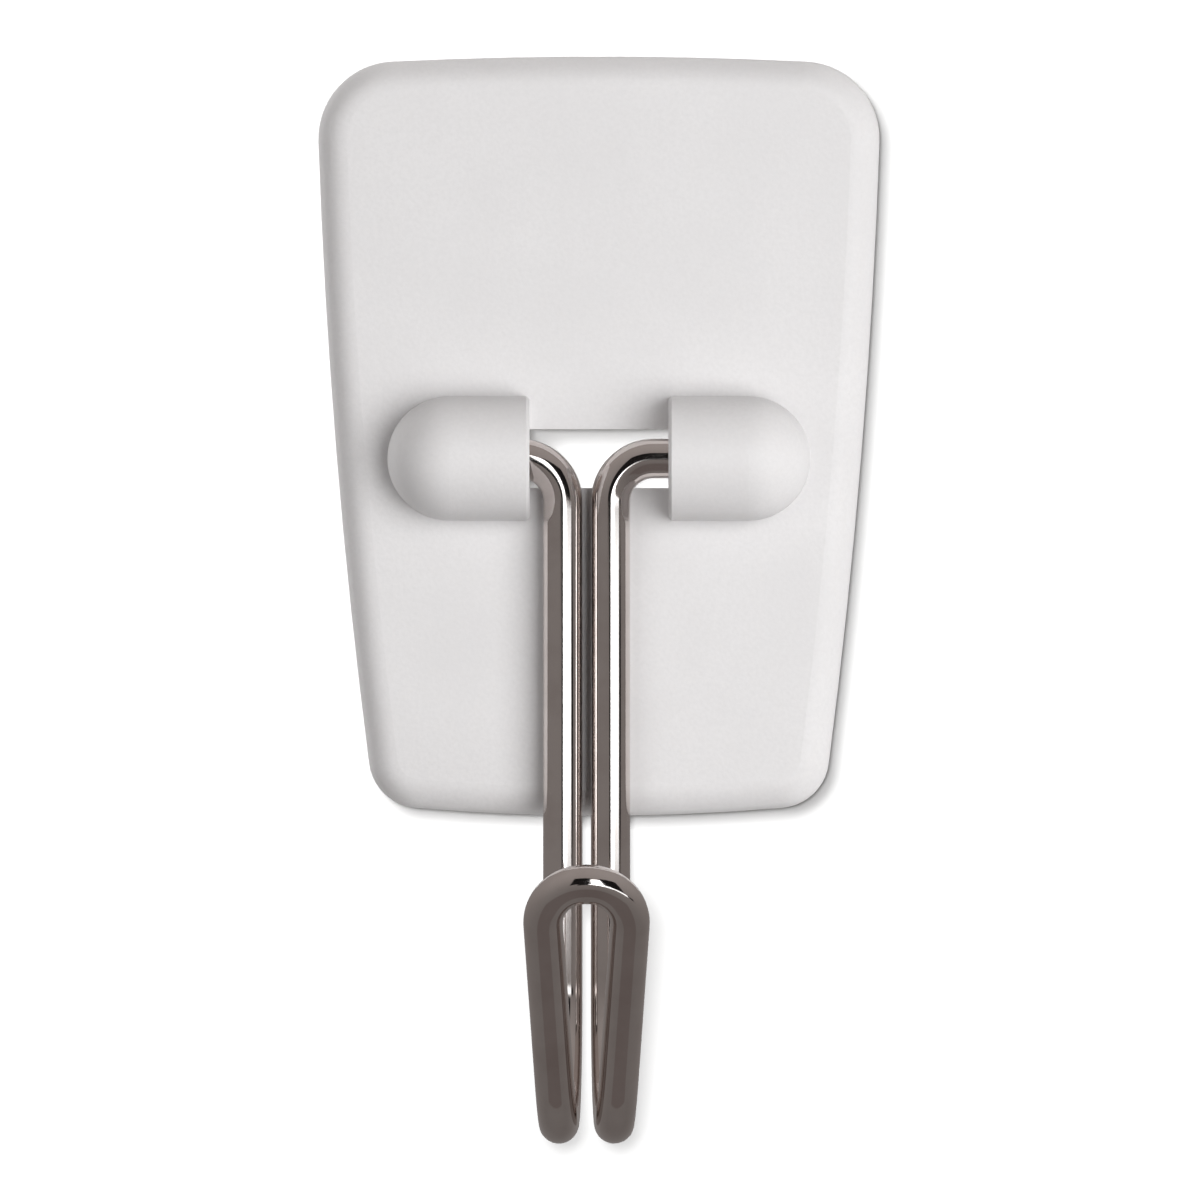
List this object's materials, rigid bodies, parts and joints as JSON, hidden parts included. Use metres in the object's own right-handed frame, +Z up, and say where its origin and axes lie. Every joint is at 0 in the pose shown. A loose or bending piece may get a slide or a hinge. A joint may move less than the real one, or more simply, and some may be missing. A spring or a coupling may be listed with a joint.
{
  "type": "adhesive hook",
  "caption": "Stick-on wall hook: a tapered plastic plate whose rounded bosses carry a swinging wire J-hook, with a foam adhesive pad on its back.",
  "frame": {"origin": "on the wall plane, which is the pad's sticking face, behind the middle of the plate", "axes": "+Z up, +Y into the wall, +X to the right as seen from the front; the hook faces -Y"},
  "size_m": [0.0214, 0.016, 0.0414],
  "materials": {
    "white_plastic": "satin",
    "plated_wire": "bright",
    "foam_tape": "matte"
  },
  "bodies": {
    "base": {"back_plate": "white_plastic", "adhesive_pad": "foam_tape"},
    "hook": {"wire_hook": "plated_wire"}
  },
  "joints": [
    {"name": "hook_swing", "type": "hinge", "parent": "base", "child": "hook", "pos_m": [0, -0.00385, -0.00086], "axis": [-1, 0, 0], "range_deg": [0, 150]}
  ]
}
